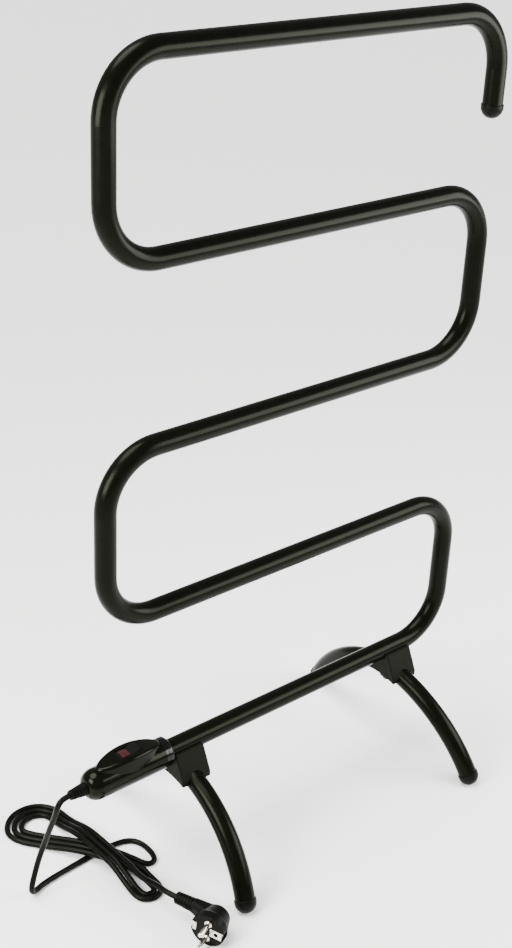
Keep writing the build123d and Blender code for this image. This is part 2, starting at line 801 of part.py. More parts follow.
# Wires inside the housing
fuse_x = switch_x + 10.0
fuse_length = 10.0
fuse_r = 2.0
splice_x = nose_x + 82.0
splice_y = 1.8
splice_lead = 3.5
sleeve_face = sleeve[1] / 2 + fit_gap
block_face_x = block_x + block_length / 2 + fit_gap
wire_z = axis_z - wire_drop
neutral_in_z = wire_z + 1.2
neutral_out_z = wire_z - 1.6


def wire(points, bend=1.1):
    with BuildLine() as route:
        FilletPolyline(*points, radius=bend)
    return tube_along(route.wire(), wire_r)


with BuildPart() as thermal_fuse:
    with BuildSketch(Plane.YZ.offset(fuse_x)):
        with Locations((-wire_y, wire_z)):
            Circle(fuse_r)
    extrude(amount=fuse_length)
    fillet(thermal_fuse.edges().filter_by(GeomType.CIRCLE), 0.6)
thermal_fuse.part.label = "thermal_fuse"
export_step(thermal_fuse.part, "parts/thermal_fuse.step")

live_in = [
    (block_face_x, -wire_y, wire_z),
    (blade_x[0], -wire_y, wire_z),
    (blade_x[0], -sleeve_face, wire_z),
]
live_out = [
    (blade_x[2], -sleeve_face, wire_z),
    (blade_x[2], -wire_y, wire_z),
    (fuse_x - fit_gap, -wire_y, wire_z),
]
live_heater = [
    (fuse_x + fuse_length + fit_gap, -wire_y, wire_z),
    (fuse_x + fuse_length + 2.5, -wire_y, wire_z),
    (splice_x - splice_lead, -splice_y, axis_z),
    (splice_x - fit_gap, -splice_y, axis_z),
]
with BuildPart() as live_wires:
    add(wire(live_in))
    add(wire(live_out))
    add(wire(live_heater))
live_wires.part.label = "live_wires"
export_step(live_wires.part, "parts/live_wires.step")

neutral_in = [
    (block_face_x, wire_y, neutral_in_z),
    (blade_x[1], wire_y, neutral_in_z),
    (blade_x[1], sleeve_face, neutral_in_z),
]
neutral_heater = [
    (blade_x[1], sleeve_face, neutral_out_z),
    (blade_x[1], wire_y, neutral_out_z),
    (fuse_x + fuse_length, wire_y, neutral_out_z),
    (splice_x - splice_lead, splice_y, axis_z),
    (splice_x - fit_gap, splice_y, axis_z),
]
with BuildPart() as neutral_wires:
    add(wire(neutral_in))
    add(wire(neutral_heater))
neutral_wires.part.label = "neutral_wires"
export_step(neutral_wires.part, "parts/neutral_wires.step")

earth_route = [
    (block_face_x, 0, wire_z),
    (block_face_x + 2.5, 0, wire_z),
    (block_face_x + 7.5, 0, tab_z),
    (band_x - tab_reach - fit_gap, 0, tab_z),
]
with BuildPart() as earth_wire:
    add(wire(earth_route, 2.5))
earth_wire.part.label = "earth_wire"
export_step(earth_wire.part, "parts/earth_wire.step")

# Heating cable along the whole tube, with its splice and end seal
seal_length = 20.0
seal_r = 4.0
seal_edge = 0.8
splice_length = 12.0
cable_start_x = splice_x + splice_length
cable_end_z = hook_end_z + 36.0
with BuildPart() as splice_sleeve:
    with BuildSketch(Plane.YZ.offset(splice_x)):
        with Locations((0, axis_z)):
            Circle(seal_r)
    extrude(amount=splice_length)
    fillet(splice_sleeve.edges().filter_by(GeomType.CIRCLE), seal_edge)
splice_sleeve.part.label = "splice_sleeve"
export_step(splice_sleeve.part, "parts/splice_sleeve.step")

with BuildLine() as cable_line:
    FilletPolyline(*rail_corners(cable_start_x, cable_end_z), radius=bend_r)
cable_path = cable_line.wire()
with BuildPart() as heating_cable:
    add(tube_along(cable_path, heater_r))
heating_cable.part.label = "heating_cable"
export_step(heating_cable.part, "parts/heating_cable.step")
report_tube("heating_cable", heating_cable.part, cable_path, pi * heater_r**2)

with BuildPart() as cable_end_seal:
    with BuildSketch(Plane.XY.offset(cable_end_z - seal_length)):
        with Locations((right_x, 0)):
            Circle(seal_r)
    extrude(amount=seal_length)
    fillet(cable_end_seal.edges().filter_by(GeomType.CIRCLE), seal_edge)
cable_end_seal.part.label = "cable_end_seal"
export_step(cable_end_seal.part, "parts/cable_end_seal.step")

# Strain relief at the nose, held by its groove: a cone with three grooves that let it bend
relief_bore_r = cord_r + fit_gap
relief_end_r = 4.9
relief_cone_r = 5.25
relief_root_r = 6.8
relief_flange_r = 7.25
relief_inner_r = 6.0
relief_inner = shell_wall + 1.6
groove_pitch = 3.4
groove_cut = 1.2
groove_radii = (4.6, 4.9, 5.3)
with BuildPart() as strain_relief:
    with BuildSketch(Plane.XZ):
        with BuildLine():
            Polyline(
                (relief_end_x, axis_z + relief_bore_r),
                (relief_end_x, axis_z + relief_end_r),
                (relief_end_x + 0.6, axis_z + relief_cone_r),
                (nose_x - 4.0, axis_z + relief_root_r),
                (nose_x - 1.2, axis_z + relief_flange_r),
                (nose_x - fit_gap, axis_z + relief_flange_r),
                (nose_x - fit_gap, axis_z + relief_hole_r - fit_gap),
                (nose_x + shell_wall + fit_gap, axis_z + relief_hole_r - fit_gap),
                (nose_x + shell_wall + fit_gap, axis_z + relief_inner_r),
                (nose_x + relief_inner, axis_z + relief_inner_r),
                (nose_x + relief_inner, axis_z + relief_bore_r),
                (relief_end_x, axis_z + relief_bore_r),
            )
        make_face()
    revolve(axis=Axis((0, 0, axis_z), (1, 0, 0)))
    for step, floor_r in enumerate(groove_radii):
        with BuildSketch(Plane.YZ.offset(relief_end_x + 3.0 + step * groove_pitch)):
            with Locations((0, axis_z)):
                Circle(relief_flange_r + overcut)
                Circle(floor_r, mode=Mode.SUBTRACT)
        extrude(amount=groove_cut, mode=Mode.SUBTRACT)
strain_relief.part.label = "strain_relief"
export_step(strain_relief.part, "parts/strain_relief.step")

# End of the cord inside the housing, with its three cores
sheath_end_x = nose_x + 15.0
core_spread = 1.9
with BuildPart() as cord_inside:
    with BuildSketch(Plane.YZ.offset(relief_end_x)):
        with Locations((0, axis_z)):
            Circle(cord_r - fit_gap)
    extrude(amount=sheath_end_x - relief_end_x)
    for y, start_y in zip(pole_y, (-core_spread, 0, core_spread)):
        core_z = axis_z + (0.9 if y == 0 else -0.6)
        core = [
            (sheath_end_x - 1, start_y, core_z),
            (sheath_end_x + 1.5, start_y, core_z),
            (core_x, y, core_z),
            (core_x, y, block_top - block_hole + 0.1),
        ]
        if y == 0:
            core.pop(1)
        add(wire(core, 1.0))
cord_inside.part.label = "cord_inside"
export_step(cord_inside.part, "parts/cord_inside.step")

# Mains cord, hanging from the relief to the floor. Route points are X, Y, Z.
low_z = cord_r + 0.05
cross_z = low_z + 6.9
top_z = cross_z + 6.9
turn_gap = 7.2
hank_heading = 4.0
hank_start = Vector(mid_x - 262.0, 31.5, low_z)
hank_forward = Vector(cos(radians(hank_heading)), sin(radians(hank_heading)), 0)
lead_points = [
    (relief_end_x, 0, axis_z),
    (mid_x - 299.5, 0, axis_z),
    (mid_x - 305.5, 0, 122.5),
    (mid_x - 306.0, 4, 108.0),
    (mid_x - 308.5, 11, 88.0),
    (mid_x - 309.5, 19, 66.0),
    (mid_x - 315.0, 22.5, 46.0),
    (mid_x - 322.5, 20.5, 28.0),
    (mid_x - 327.5, 18.6, 15.8),
    (mid_x - 326.0, 20.2, 7.2),
    (mid_x - 319.5, 23.5, low_z),
    (mid_x - 308.0, 27.4, low_z),
    tuple(hank_start - hank_forward * 26),
    tuple(hank_start),
]
lead_line = routed_line(lead_points)
with BuildPart() as mains_cord_lead:
    add(tube_along(lead_line, cord_r))
mains_cord_lead.part.label = "mains_cord_lead"
export_step(mains_cord_lead.part, "parts/mains_cord_lead.step")

# Hank: one upper loop, then three turns of a long figure of eight, which end after two rounds
# of its front lobe. Each turn is shifted sideways by a cord's width. A station is X, Y, heading,
# height, and how far the turns fan out there.
upper_loop = [
    (-212.0, 31.0, -5, low_z),
    (-188.0, 5.0, -90, low_z),
    (-202.0, -15.5, 160, low_z),
    (-211.2, 2.0, 113, low_z + 2.6),
]
figure_up = [
    (-232.0, 20.0, 120, cross_z, 1.0),
    (-247.0, 45.0, 122, cross_z, 1.0),
    (-268.0, 80.0, 128, low_z, 1.08),
    (-287.0, 106.0, 95, low_z, 1.1),
    (-262.0, 134.0, 0, low_z, 1.2),
    (-237.0, 108.0, -90, low_z, 1.0),
    (-236.0, 55.0, -90, top_z, 1.0),
    (-235.0, 22.0, -90, top_z, 1.0),
    (-234.5, -6.0, -90, top_z, 1.0),
]
lobe_x = -226.0
lobe_y = -46.0
lobe_r = 15.0


def station(x, y, heading, z, shift=0.0):
    turn = radians(heading)
    place = Vector(mid_x + x - shift * sin(turn), y + shift * cos(turn), z)
    return place, Vector(cos(turn), sin(turn), 0)


hank_stations = [station(*step) for step in upper_loop]
for turn in range(3):
    shift = (turn - 1) * turn_gap
    hank_stations += [station(x, y, h, z, shift * fan) for x, y, h, z, fan in figure_up]
    if turn < 2:
        reach = lobe_r - turn * turn_gap
        hank_stations += [
            station(lobe_x - reach, lobe_y, -90, low_z),
            station(lobe_x, lobe_y - reach, 0, low_z),
            station(lobe_x + reach, lobe_y, 90, low_z),
        ]


def biarc(start, start_dir, end, end_dir):
    span = end - start
    both = start_dir + end_dir
    spread = 2 * (1 - start_dir.dot(end_dir))
    along = span.dot(both)
    if spread < 1e-9:
        reach = span.dot(span) / (2 * along)
    else:
        reach = (sqrt(along**2 + 2 * spread * span.dot(span) / 2) - along) / spread
    joint = (start + end + (start_dir - end_dir) * reach) / 2
    joint_dir = (joint - start - start_dir * reach).normalized()
    TangentArc(start, joint, tangent=start_dir)
    TangentArc(joint, end, tangent=joint_dir)


straight = 2 * cord_r
with BuildLine() as hank_line:
    point = hank_start + hank_forward * straight
    direction = hank_forward
    Line(hank_start, point)
    for next_point, next_direction in hank_stations:
        biarc(point, direction, next_point, next_direction)
        point, direction = next_point, next_direction
    hank_end = point + direction * straight
    Line(point, hank_end)
hank_end_dir = direction

hank_path = hank_line.wire()
with BuildPart() as mains_cord_hank:
    add(tube_along(hank_path, cord_r))
mains_cord_hank.part.label = "mains_cord_hank"
export_step(mains_cord_hank.part, "parts/mains_cord_hank.step")

# Plug: an angled two-pin earthed plug lying on its rim, rolled so that its cord side is raised
plug_r = 19.0
plug_rim = 8.0
plug_depth = 28.5
pin_heading = radians(24.0)
plug_roll = radians(-5.8)
exit_depth = 23.0
neck_reach = 27.0
plug_relief_reach = 48.8
plug_face = Vector(mid_x - 223.4, -145.2, plug_r + 0.05)
plug_x = Vector(
    sin(pin_heading) * cos(plug_roll), -cos(pin_heading) * cos(plug_roll), sin(plug_roll)
)
plug_z = Vector(-cos(pin_heading), -sin(pin_heading), 0)
plug_plane = Plane(origin=plug_face, x_dir=plug_x, z_dir=plug_z)
exit_origin = plug_face - plug_z * exit_depth
cord_out = plug_x * -1
tail_end = exit_origin + cord_out * plug_relief_reach

tail_points = [
    tuple(hank_end),
    tuple(hank_end + hank_end_dir * 10.0),
    (mid_x - 229.5, -37.5, 18.0),
    (mid_x - 228.8, -50.5, 20.0),
    (mid_x - 226.5, -65.0, 22.6),
    tuple(tail_end + cord_out * 11.5),
    tuple(tail_end),
]
tail_line = routed_line(tail_points)
with BuildPart() as mains_cord_tail:
    add(tube_along(tail_line, cord_r))
mains_cord_tail.part.label = "mains_cord_tail"
export_step(mains_cord_tail.part, "parts/mains_cord_tail.step")

# Plug pieces, drawn in the plug's own plane: z along its pins, x away from the cord, y up
core_r = 16.9
core_depth = 7.0
pin_spacing = 19.0
pin_r = 2.4
pin_length = 19.0
pin_tip = 1.4
pin_collar_r = 4.0
pin_collar = 0.8
pin_places = [(0, -pin_spacing / 2), (0, pin_spacing / 2)]
notch_x = 15.5
notch_width = 9.2
notch_length = 10.0
earth_hole_x = 10.0
earth_hole_r = 2.5
back_shoulder = (17.6, 11.0)
back_edge = (13.6, 24.0)
back_round = (11.6, 27.3)
back_flat_r = 8.0
block_mid = 18.5
block_section = (20.0, 22.0)
neck_section = (14.2, 15.6)
side_plane = Plane(origin=plug_face, x_dir=plug_x, z_dir=plug_x.cross(plug_z))
block_plane = Plane(origin=plug_face - plug_z * block_mid, x_dir=plug_z, z_dir=cord_out)
neck_plane = Plane(origin=exit_origin + cord_out * neck_reach, x_dir=plug_z, z_dir=cord_out)

with BuildPart() as side_notches:
    with BuildSketch(plug_plane.offset(-core_depth - fit_gap)):
        with Locations((-notch_x - notch_length / 2, 0), (notch_x + notch_length / 2, 0)):
            Rectangle(notch_length, notch_width)
    extrude(amount=core_depth + overcut)

with BuildPart() as plug_body:
    with BuildSketch(side_plane):
        with BuildLine():
            Polyline(
                (back_flat_r, -plug_depth),
                (0, -plug_depth),
                (0, 0),
                (plug_r, 0),
                (plug_r, -plug_rim),
                (back_shoulder[0], -back_shoulder[1]),
                (back_edge[0], -back_edge[1]),
            )
            ThreePointArc(
                (back_edge[0], -back_edge[1]),
                (back_round[0], -back_round[1]),
                (back_flat_r, -plug_depth),
            )
        make_face()
    revolve(axis=Axis(plug_face, plug_z))
    with BuildSketch(block_plane):
        RectangleRounded(*block_section, 4.5)
    with BuildSketch(neck_plane):
        RectangleRounded(*neck_section, 6)
    loft()
    with BuildSketch(plug_plane.offset(-core_depth - fit_gap)):
        Circle(core_r + fit_gap)
    extrude(amount=core_depth + overcut, mode=Mode.SUBTRACT)
    add(side_notches.part, mode=Mode.SUBTRACT)
plug_body.part.label = "plug_body"
export_step(plug_body.part, "parts/plug_body.step")

with BuildPart() as plug_core:
    with BuildSketch(plug_plane.offset(-core_depth)):
        Circle(core_r)
        with Locations(*pin_places):
            Circle(pin_r + fit_gap, mode=Mode.SUBTRACT)
    extrude(amount=core_depth)
    with BuildSketch(plug_plane.offset(-core_depth + 1)):
        with Locations((earth_hole_x, 0)):
            Circle(earth_hole_r)
    extrude(amount=core_depth, mode=Mode.SUBTRACT)
    add(side_notches.part, mode=Mode.SUBTRACT)
plug_core.part.label = "plug_core"
export_step(plug_core.part, "parts/plug_core.step")

with BuildPart() as plug_pins:
    with BuildSketch(plug_plane.offset(-core_depth)):
        with Locations(*pin_places):
            Circle(pin_r)
    extrude(amount=core_depth + pin_length)
    fillet(plug_pins.faces().sort_by(Axis(plug_face, plug_z))[-2:].edges(), pin_tip)
    with BuildSketch(plug_plane.offset(fit_gap)):
        with Locations(*pin_places):
            Circle(pin_collar_r)
    extrude(amount=pin_collar)
plug_pins.part.label = "plug_pins"
export_step(plug_pins.part, "parts/plug_pins.step")

# Earth clips: a blade down each side notch, folded over the plug's face
clip_wall = 0.8
clip_width = 8.0
tongue_width = 9.6
clip_outside = notch_x + fit_gap + clip_wall
with BuildPart() as plug_earth_clips:
    for way, reach in ((1, 3.0), (-1, 12.5)):
        with BuildSketch(plug_plane.offset(-core_depth + 0.1)):
            with Locations((way * (clip_outside - clip_wall / 2), 0)):
                Rectangle(clip_wall, clip_width)
        extrude(amount=core_depth)
        with BuildSketch(plug_plane.offset(fit_gap)):
            with Locations((way * (reach + clip_outside) / 2, 0)):
                Rectangle(clip_outside - reach, tongue_width)
        extrude(amount=clip_wall)
    with BuildSketch(plug_plane.offset(-overcut)):
        with Locations((earth_hole_x, 0)):
            Circle(earth_hole_r - 0.1)
    extrude(amount=2 * overcut + clip_wall, mode=Mode.SUBTRACT)
plug_earth_clips.part.label = "plug_earth_clips"
export_step(plug_earth_clips.part, "parts/plug_earth_clips.step")

# Ribbed relief between the plug and the cord
relief_steps = 7
relief_pitch = (plug_relief_reach - neck_reach) / relief_steps
first_rib_r = 7.6
rib_taper = 0.15
rib_depth = 1.4
end_gap = 0.02
with BuildPart() as plug_relief:
    for step in range(relief_steps):
        rib_start = neck_reach + end_gap + step * relief_pitch
        rib_r = first_rib_r - rib_taper * step
        core_end = min(rib_start + relief_pitch + 0.3, plug_relief_reach - end_gap)
        rib_plane = Plane(origin=exit_origin + cord_out * rib_start, z_dir=cord_out)
        with BuildSketch(rib_plane):
            Circle(rib_r)
        extrude(amount=relief_pitch * 0.55)
        with BuildSketch(rib_plane):
            Circle(rib_r - rib_depth)
        extrude(amount=core_end - rib_start)
plug_relief.part.label = "plug_relief"
export_step(plug_relief.part, "parts/plug_relief.step")

for name, part, line in (
    ("mains_cord_lead", mains_cord_lead.part, lead_line),
    ("mains_cord_hank", mains_cord_hank.part, hank_path),
    ("mains_cord_tail", mains_cord_tail.part, tail_line),
):
    report_tube(name, part, line, pi * cord_r**2)
print("lead bends", [round(r, 1) for r in corner_radii(lead_points)])
print("tail bends", [round(r, 1) for r in corner_radii(tail_points)])
hank_bends = [edge.radius for edge in hank_line.edges().filter_by(GeomType.CIRCLE)]
print(f"hank tightest bend {min(hank_bends):.1f}")
print(f"cord {lead_line.length + hank_path.length + tail_line.length:.0f} long in sight")


# Least gap between turns, on points 2 mm apart, past the bend that a point belongs to
def least_gap(line, radius):
    count = int(line.length / 2)
    points = [line.position_at(i / count) for i in range(count + 1)]
    skip = int(4 * radius)
    least, where = 1e9, None
    for i, first in enumerate(points):
        for second in points[i + skip :]:
            gap = (second - first).length - 2 * radius
            if gap < least:
                least, where = gap, (first, second)
    return least, where


hank_gap, hank_near = least_gap(hank_path, cord_r)
print(f"hank least gap to itself {hank_gap:.2f} near {hank_near[0]} and {hank_near[1]}")
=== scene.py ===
import math
import bmesh
import bpy
from mathutils import Matrix, Vector


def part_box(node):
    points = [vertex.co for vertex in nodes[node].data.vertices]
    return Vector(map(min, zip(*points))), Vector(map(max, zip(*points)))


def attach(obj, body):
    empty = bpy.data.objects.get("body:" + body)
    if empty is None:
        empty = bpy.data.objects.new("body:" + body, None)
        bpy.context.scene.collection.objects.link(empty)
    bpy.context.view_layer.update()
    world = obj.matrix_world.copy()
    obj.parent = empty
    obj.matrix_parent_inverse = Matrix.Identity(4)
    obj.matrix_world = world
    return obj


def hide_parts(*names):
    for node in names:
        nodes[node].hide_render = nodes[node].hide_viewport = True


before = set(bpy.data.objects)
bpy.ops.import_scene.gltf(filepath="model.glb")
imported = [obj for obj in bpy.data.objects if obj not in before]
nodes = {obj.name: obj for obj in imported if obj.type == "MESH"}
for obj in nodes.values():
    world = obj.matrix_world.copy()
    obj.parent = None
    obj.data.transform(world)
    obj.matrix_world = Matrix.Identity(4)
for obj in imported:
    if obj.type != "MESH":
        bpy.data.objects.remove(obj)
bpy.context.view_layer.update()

mm = 0.001
midX = 7.5                             # middle of the uprights, in mm, as in the part's source
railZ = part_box("housing_lower")[1].z   # top of the lower shell, where the two meet at the rail's axis


def toLinear(hexColour):
    # The standard sRGB curve
    channels = [int(hexColour[i:i + 2], 16) / 255 for i in (0, 2, 4)]
    linear = [c / 12.92 if c <= 0.04045 else ((c + 0.055) / 1.055) ** 2.4 for c in channels]
    return (*linear, 1.0)


def addNode(tree, kind, settings=None, inputs=None, links=None):
    node = tree.nodes.new(kind)
    for name, value in (settings or {}).items():
        setattr(node, name, value)
    for name, value in (inputs or {}).items():
        node.inputs[name].default_value = value
    for name, socket in (links or {}).items():
        tree.links.new(socket, node.inputs[name])
    return node


# Camera where the photograph was taken from. Its place is in metres, its sensor and lens in mm.
camera = {
    "place": (-0.9256, -0.9860, 1.0872),
    "forward": (0.5936, 0.6691, -0.4471),
    "right": (0.7613, -0.6469, 0.0427),
    "sensor": 36.0,                    # along the photograph's long side
    "lens": 54.9,
    "reach": 60.0,
}


def makeCamera(spec):
    forward = Vector(spec["forward"]).normalized()
    right = Vector(spec["right"])
    right = (right - forward * right.dot(forward)).normalized()
    up = right.cross(forward)
    data = bpy.data.cameras.new("camera")
    data.sensor_fit = "VERTICAL"
    data.sensor_height = spec["sensor"]
    data.lens = spec["lens"]
    data.clip_end = spec["reach"]
    obj = bpy.data.objects.new("camera", data)
    turn = Matrix((right, up, -forward)).transposed()
    obj.matrix_world = Matrix.Translation(spec["place"]) @ turn.to_4x4()
    bpy.context.scene.collection.objects.link(obj)
    bpy.context.scene.camera = obj


makeCamera(camera)
print("camera placed")


# Mains cord: one run of 6.3 mm lead from the relief down to the floor, an upper loop, three turns
# of a long figure of eight, then the plug. Points are in mm, X from the middle of the uprights.
cord = {
    "diameter": 6.3,
    "length": 1.662,                   # in metres, from relief to relief
    "floor": 3.2,                      # centre height of the lowest strands
    "middle": 10.1,
    "top": 17.0,
    "turns": 3,
    "turnGap": 7.2,                    # sideways step from one turn to the next
    "lobeRadius": 15.0,                # of the first front lobe, each later one is a step smaller
    "sides": 20,
    "stepsPerPoint": 10,
}
low, middle, top = cord["floor"], cord["middle"], cord["top"]
leadPoints = [
    (-290.5, 0, 130.0),
    (-299.5, 0, 130.0),
    (-305.5, 0, 122.5),
    (-306.0, 4, 108.0),
    (-308.5, 11, 88.0),
    (-309.5, 19, 66.0),
    (-315.0, 22.5, 46.0),
    (-322.5, 20.5, 28.0),
    (-327.5, 18.6, 15.8),
    (-326.0, 20.2, 7.2),
    (-319.5, 23.5, low),
    (-308.0, 27.4, low),
    (-287.9, 29.7, low),
    (-262.0, 31.5, low),
]
upperLoopPoints = [
    (-237.0, 33.2, low),
    (-212.0, 32.5, low),
    (-196.0, 28.5, low),
    (-187.5, 17.0, low),
    (-187.2, -4.0, low),
    (-192.5, -16.5, low),
    (-203.0, -16.6, low),
    (-210.3, -1.0, low + 2.6),
]
figurePoints = [                       # x, y, height, and where the next turn is to this one
    (-232.0, 20.0, middle, -0.87, -0.50),
    (-247.0, 45.0, middle, -0.86, -0.53),
    (-268.0, 80.0, low, -0.87, -0.65),
    (-287.0, 104.3, low, -1.10, -0.36),
    (-288.0, 119.8, low, -1.10, 0.45),
    (-273.0, 134.2, low, -0.46, 1.15),
    (-251.4, 134.2, low, 0.42, 1.15),
    (-237.0, 119.4, low, 1.00, 0.42),
    (-236.5, 92.0, low + 1.5, 1.00, 0.00),
    (-236.0, 58.0, top, 1.00, 0.00),
    (-235.0, 22.0, top, 1.00, 0.00),
    (-234.5, -6.0, top, 1.00, 0.00),
]
lobe = {
    "x": -226.0,
    "y": -46.0,
    "entry": -34.0,                    # y where a turn comes down into the lobe
    "leave": -30.0,                    # y where it ends, still on the floor
    "climb": -16.8,                    # y where it starts back up over the figure
    "entryRise": 2.0,
    "climbRise": 1.5,
    "corner": 0.41,                    # where a corner's points stand, as a share of the radius
}
tailStartPoints = [
    (-227.3, -22.3, top),
    (-229.5, -37.5, 18.0),
    (-228.8, -50.5, 20.0),
    (-226.5, -65.0, 22.6),
]
plugPlace = {
    "x": -223.4,
    "y": -145.2,
    "z": 19.05,
    "heading": 24.0,                   # degrees
    "roll": -5.8,
    "exitDepth": 23.0,                 # from the plug's face back to the cord's axis
    "relief": 48.8,                    # from the plug's axis to the end of its relief
    "leadOut": 11.5,
}


def plugAxes(spec):
    turn = math.radians(spec["heading"])
    roll = math.radians(spec["roll"])
    across = Vector((math.sin(turn) * math.cos(roll), -math.cos(turn) * math.cos(roll), math.sin(roll)))
    along = Vector((-math.cos(turn), -math.sin(turn), 0.0))
    return across, along


def lobePoints(radius):
    corner = radius * lobe["corner"]
    left, right, front = lobe["x"] - radius, lobe["x"] + radius, lobe["y"] - radius
    return [
        (left, lobe["entry"], low + lobe["entryRise"]),
        (left, lobe["y"] - corner, low),
        (lobe["x"] - corner, front, low),
        (lobe["x"] + corner, front, low),
        (right, lobe["y"] - corner, low),
        (right, lobe["leave"], low),
        (right, lobe["climb"], low + lobe["climbRise"]),
    ]


def hankPoints(spec):
    points = list(upperLoopPoints)
    for turn in range(spec["turns"]):
        step = (turn - 1) * spec["turnGap"]          # the second turn runs on figurePoints
        points += [(x + sideX * step, y + sideY * step, z) for x, y, z, sideX, sideY in figurePoints]
        if turn < spec["turns"] - 1:
            points += lobePoints(spec["lobeRadius"] - turn * spec["turnGap"])
    return points


def tailPoints(spec):
    across, along = plugAxes(spec)
    face = Vector((spec["x"], spec["y"], spec["z"]))
    end = face - along * spec["exitDepth"] - across * spec["relief"]
    return [*tailStartPoints, tuple(end - across * spec["leadOut"]), tuple(end)]


def makeCord(spec):
    points = leadPoints + hankPoints(spec) + tailPoints(plugPlace)
    curve = bpy.data.curves.new("mains_cord", "CURVE")
    curve.dimensions = "3D"
    curve.resolution_u = spec["stepsPerPoint"]
    curve.bevel_depth = 1.0            # times each point's radius, which also sets the curve's box
    curve.bevel_resolution = spec["sides"] // 2 - 2      # a round bevel has 4 + 2 * resolution sides
    curve.use_fill_caps = True
    spline = curve.splines.new("NURBS")
    spline.points.add(len(points) - 1)
    for point, (x, y, z) in zip(spline.points, points):
        point.co = ((midX + x) * mm, y * mm, z * mm, 1.0)
        point.radius = spec["diameter"] / 2 * mm
    spline.order_u = 3                 # keeps the run close to its points
    spline.use_endpoint_u = True
    obj = bpy.data.objects.new("mains_cord", curve)
    bpy.context.scene.collection.objects.link(obj)
    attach(obj, "frame")
    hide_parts("mains_cord_lead", "mains_cord_hank", "mains_cord_tail")
    return obj


mainsCord = makeCord(cord)
print("cord laid")


# Materials. Sizes are in mm on the object itself, read from Object coordinates.
plainSockets = ("Metallic", "IOR", "Specular IOR Level", "Transmission Weight",
                "Subsurface Weight", "Subsurface Scale")
mixFactor, mixFirst, mixSecond, mixResult = 0, 6, 7, 2   # sockets of a Mix node that is set to colour
firstValue, secondValue = 0, 1                           # inputs of a Math node, which share a name
grainDepth = 0.2                                         # of the grain's own width


def startMaterial(name, look):
    material = bpy.data.materials.new(name)
    material.use_nodes = True
    tree = material.node_tree
    shader = tree.nodes["Principled BSDF"]
    shader.inputs["Roughness"].default_value = look["rough"]
    shader.inputs["Base Color"].default_value = toLinear(look["hex"])
    for socket in plainSockets:
        if socket in look:
            shader.inputs[socket].default_value = look[socket]
    if "Specular Tint" in look:
        shader.inputs["Specular Tint"].default_value = toLinear(look["Specular Tint"])
    material.diffuse_color = toLinear(look["hex"])
    place = addNode(tree, "ShaderNodeTexCoord").outputs["Object"]
    return material, tree, shader, place


def bandScale(spacing):
    # Blender's wave texture runs through 20 radians in each unit at scale 1
    return 2 * math.pi / (20 * spacing * mm)


def mottle(tree, shader, place, look):
    # Slow change of tone and gloss over the surface
    cloud = addNode(tree, "ShaderNodeTexNoise", None,
                    {"Scale": 1 / (look["cloud"] * mm), "Detail": 3.0, "Roughness": 0.55}, {"Vector": place})
    tone = addNode(tree, "ShaderNodeMix", {"data_type": "RGBA"},
                   {mixFirst: toLinear(look["hex"]), mixSecond: toLinear(look["hexLight"])},
                   {mixFactor: cloud.outputs["Fac"]})
    tree.links.new(tone.outputs[mixResult], shader.inputs["Base Color"])
    gloss = addNode(tree, "ShaderNodeMapRange", None,
                    {"From Min": 0.3, "From Max": 0.7, "To Min": look["rough"], "To Max": look["roughMost"]},
                    {"Value": cloud.outputs["Fac"]})
    tree.links.new(gloss.outputs["Result"], shader.inputs["Roughness"])
    return tone


def grain(tree, shader, place, look, below=None):
    # Fine relief of the skin, laid over another relief where there is one
    skin = addNode(tree, "ShaderNodeTexNoise", None,
                   {"Scale": 1 / (look["grain"] * mm), "Detail": 2.0, "Roughness": 0.5}, {"Vector": place})
    relief = addNode(tree, "ShaderNodeBump", None,
                     {"Strength": look["relief"], "Distance": look["grain"] * mm * grainDepth},
                     {"Height": skin.outputs["Fac"]})
    if below is not None:
        tree.links.new(below, relief.inputs["Normal"])
    tree.links.new(relief.outputs["Normal"], shader.inputs["Normal"])


def grainedSkin(name, look):
    # Most finishes need no more than the mottling and the grain
    material, tree, shader, place = startMaterial(name, look)
    mottle(tree, shader, place, look)
    grain(tree, shader, place, look)
    return material


def powderCoat():
    # Baked polyester powder on steel tube: a soft gloss with a slight orange peel, black with a
    # grey-green cast
    look = {"hex": "040503", "hexLight": "070805", "rough": 0.21, "roughMost": 0.27, "IOR": 1.5,
            "Specular IOR Level": 0.05, "Specular Tint": "f4f7d8", "cloud": 9.0, "grain": 1.6, "relief": 0.06}
    return grainedSkin("powderCoat", look)


def mouldedNylon():
    # Glass-filled nylon from a spark-eroded mould: matte charcoal with an even fine grain
    look = {"hex": "070906", "hexLight": "0d0f0b", "rough": 0.46, "roughMost": 0.60, "IOR": 1.53,
            "Specular IOR Level": 0.05, "Specular Tint": "f4f7d8", "cloud": 6.0, "grain": 0.9, "relief": 0.30}
    return grainedSkin("mouldedNylon", look)


